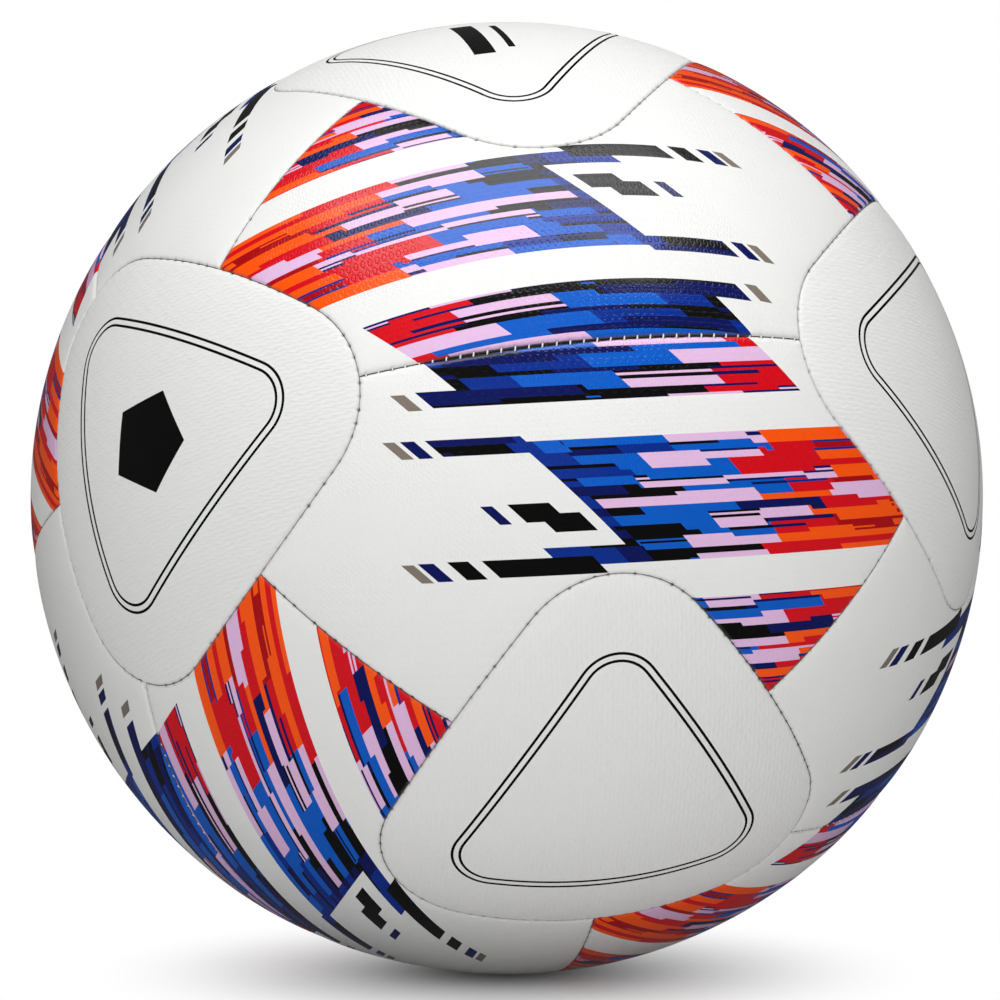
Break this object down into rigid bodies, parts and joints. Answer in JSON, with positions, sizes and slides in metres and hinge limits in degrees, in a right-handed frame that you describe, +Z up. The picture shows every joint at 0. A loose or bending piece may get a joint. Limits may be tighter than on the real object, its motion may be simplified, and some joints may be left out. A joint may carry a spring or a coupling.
{
  "type": "soccer ball",
  "caption": "Sewn soccer ball with rounded triangle panels and printed side panels over a rubber bladder with a needle valve.",
  "frame": {"origin": "centre of the ball", "axes": "+Z up with the ball turned as it was pictured, -Y towards the viewer, +X to the viewer's right"},
  "size_m": [0.22, 0.22, 0.22],
  "materials": {
    "white_cover": "white grained synthetic leather with a thin printed outline, satin",
    "printed_cover": "white grained synthetic leather with glossy printed bars in orange, red, lilac, blue, navy and black",
    "foam": "closed-cell foam",
    "lining_cloth": "woven cotton and polyester lining",
    "thread": "waxed polyester sewing thread",
    "bladder_rubber": "black butyl rubber",
    "patch_rubber": "black rubber patch",
    "valve_rubber": "pale moulded rubber",
    "core_rubber": "soft black rubber"
  },
  "bodies": {
    "root": {"balance_patch": "patch_rubber", "bladder": "bladder_rubber", "diagonal_seam_threads": "thread", "edge_seam_threads": "thread", "side_cloth_linings": "lining_cloth", "side_foam_pads": "foam", "side_panel_front_by_lower_front": "printed_cover", "side_panel_front_by_top": "printed_cover", "side_panel_lower_left_by_lower_front": "printed_cover", "side_panel_lower_left_by_rear_left": "printed_cover", "side_panel_lower_right_by_bottom": "printed_cover", "side_panel_lower_right_by_right": "printed_cover", "side_panel_rear_by_bottom": "printed_cover", "side_panel_rear_by_valve": "printed_cover", "side_panel_upper_left_by_rear_left": "printed_cover", "side_panel_upper_left_by_top": "printed_cover", "side_panel_upper_right_by_right": "printed_cover", "side_panel_upper_right_by_valve": "printed_cover", "triangle_cloth_linings": "lining_cloth", "triangle_foam_pads": "foam", "triangle_panel_bottom": "white_cover", "triangle_panel_left": "white_cover", "triangle_panel_lower_front": "white_cover", "triangle_panel_rear_left": "white_cover", "triangle_panel_rear_right": "white_cover", "triangle_panel_right": "white_cover", "triangle_panel_top": "white_cover", "triangle_panel_valve": "white_cover", "triangle_seam_threads": "thread", "valve_body": "valve_rubber", "valve_core": "core_rubber", "valve_reinforcing_patch": "patch_rubber"}
  },
  "joints": []
}
